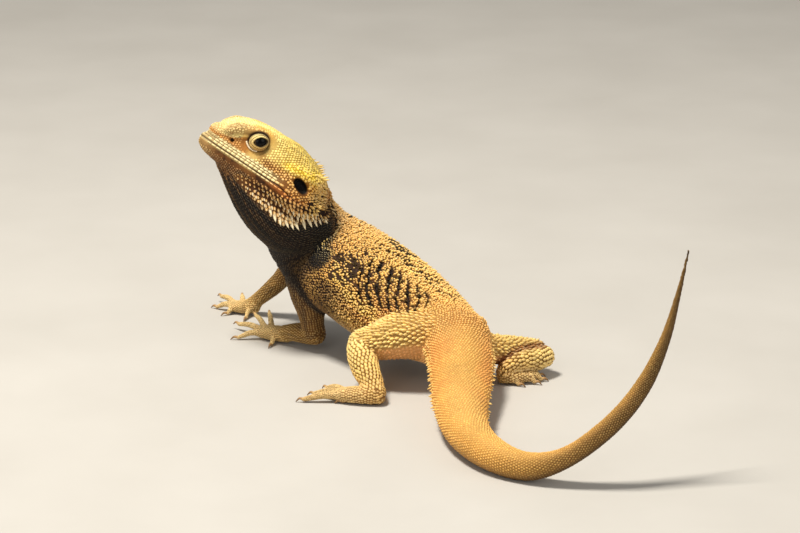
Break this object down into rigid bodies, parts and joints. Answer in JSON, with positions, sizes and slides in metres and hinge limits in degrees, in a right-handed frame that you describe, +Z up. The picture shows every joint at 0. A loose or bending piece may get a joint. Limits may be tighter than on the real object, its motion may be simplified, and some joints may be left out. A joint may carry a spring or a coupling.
{
  "type": "bearded dragon model",
  "caption": "Life-size still model of an adult central bearded dragon, head raised and turned, resting on its feet and tail with the tail tip lifted.",
  "frame": {"origin": "middle of the bounding box, at floor level", "axes": "+Z up; the head looks towards -X, the hips point towards +Y and the tail leaves them towards -Y and curls to +X"},
  "size_m": [0.196, 0.2266, 0.1019],
  "materials": {
    "skin_yellow": "dry scaly skin",
    "skin_gold": "dry scaly skin",
    "skin_sand": "dry scaly skin",
    "skin_throat": "dry scaly skin",
    "skin_tan": "dry scaly skin",
    "skin_brown": "dry scaly skin",
    "eye": "wet gloss"
  },
  "bodies": {
    "root": {"head": "skin_yellow", "lower_jaw": "skin_sand", "throat": "skin_throat", "eye_left": "eye", "eye_right": "eye", "neck": "skin_sand", "shoulders": "skin_sand", "trunk": "skin_gold", "hips": "skin_gold", "tail_1": "skin_gold", "tail_2": "skin_gold", "tail_3": "skin_tan", "tail_4": "skin_tan", "tail_5": "skin_brown", "upper_arm_left": "skin_sand", "forearm_left": "skin_sand", "hand_left": "skin_sand", "upper_arm_right": "skin_sand", "forearm_right": "skin_sand", "hand_right": "skin_sand", "thigh_left": "skin_yellow", "shank_left": "skin_yellow", "foot_left": "skin_yellow", "thigh_right": "skin_yellow", "shank_right": "skin_yellow", "foot_right": "skin_yellow"}
  },
  "joints": []
}
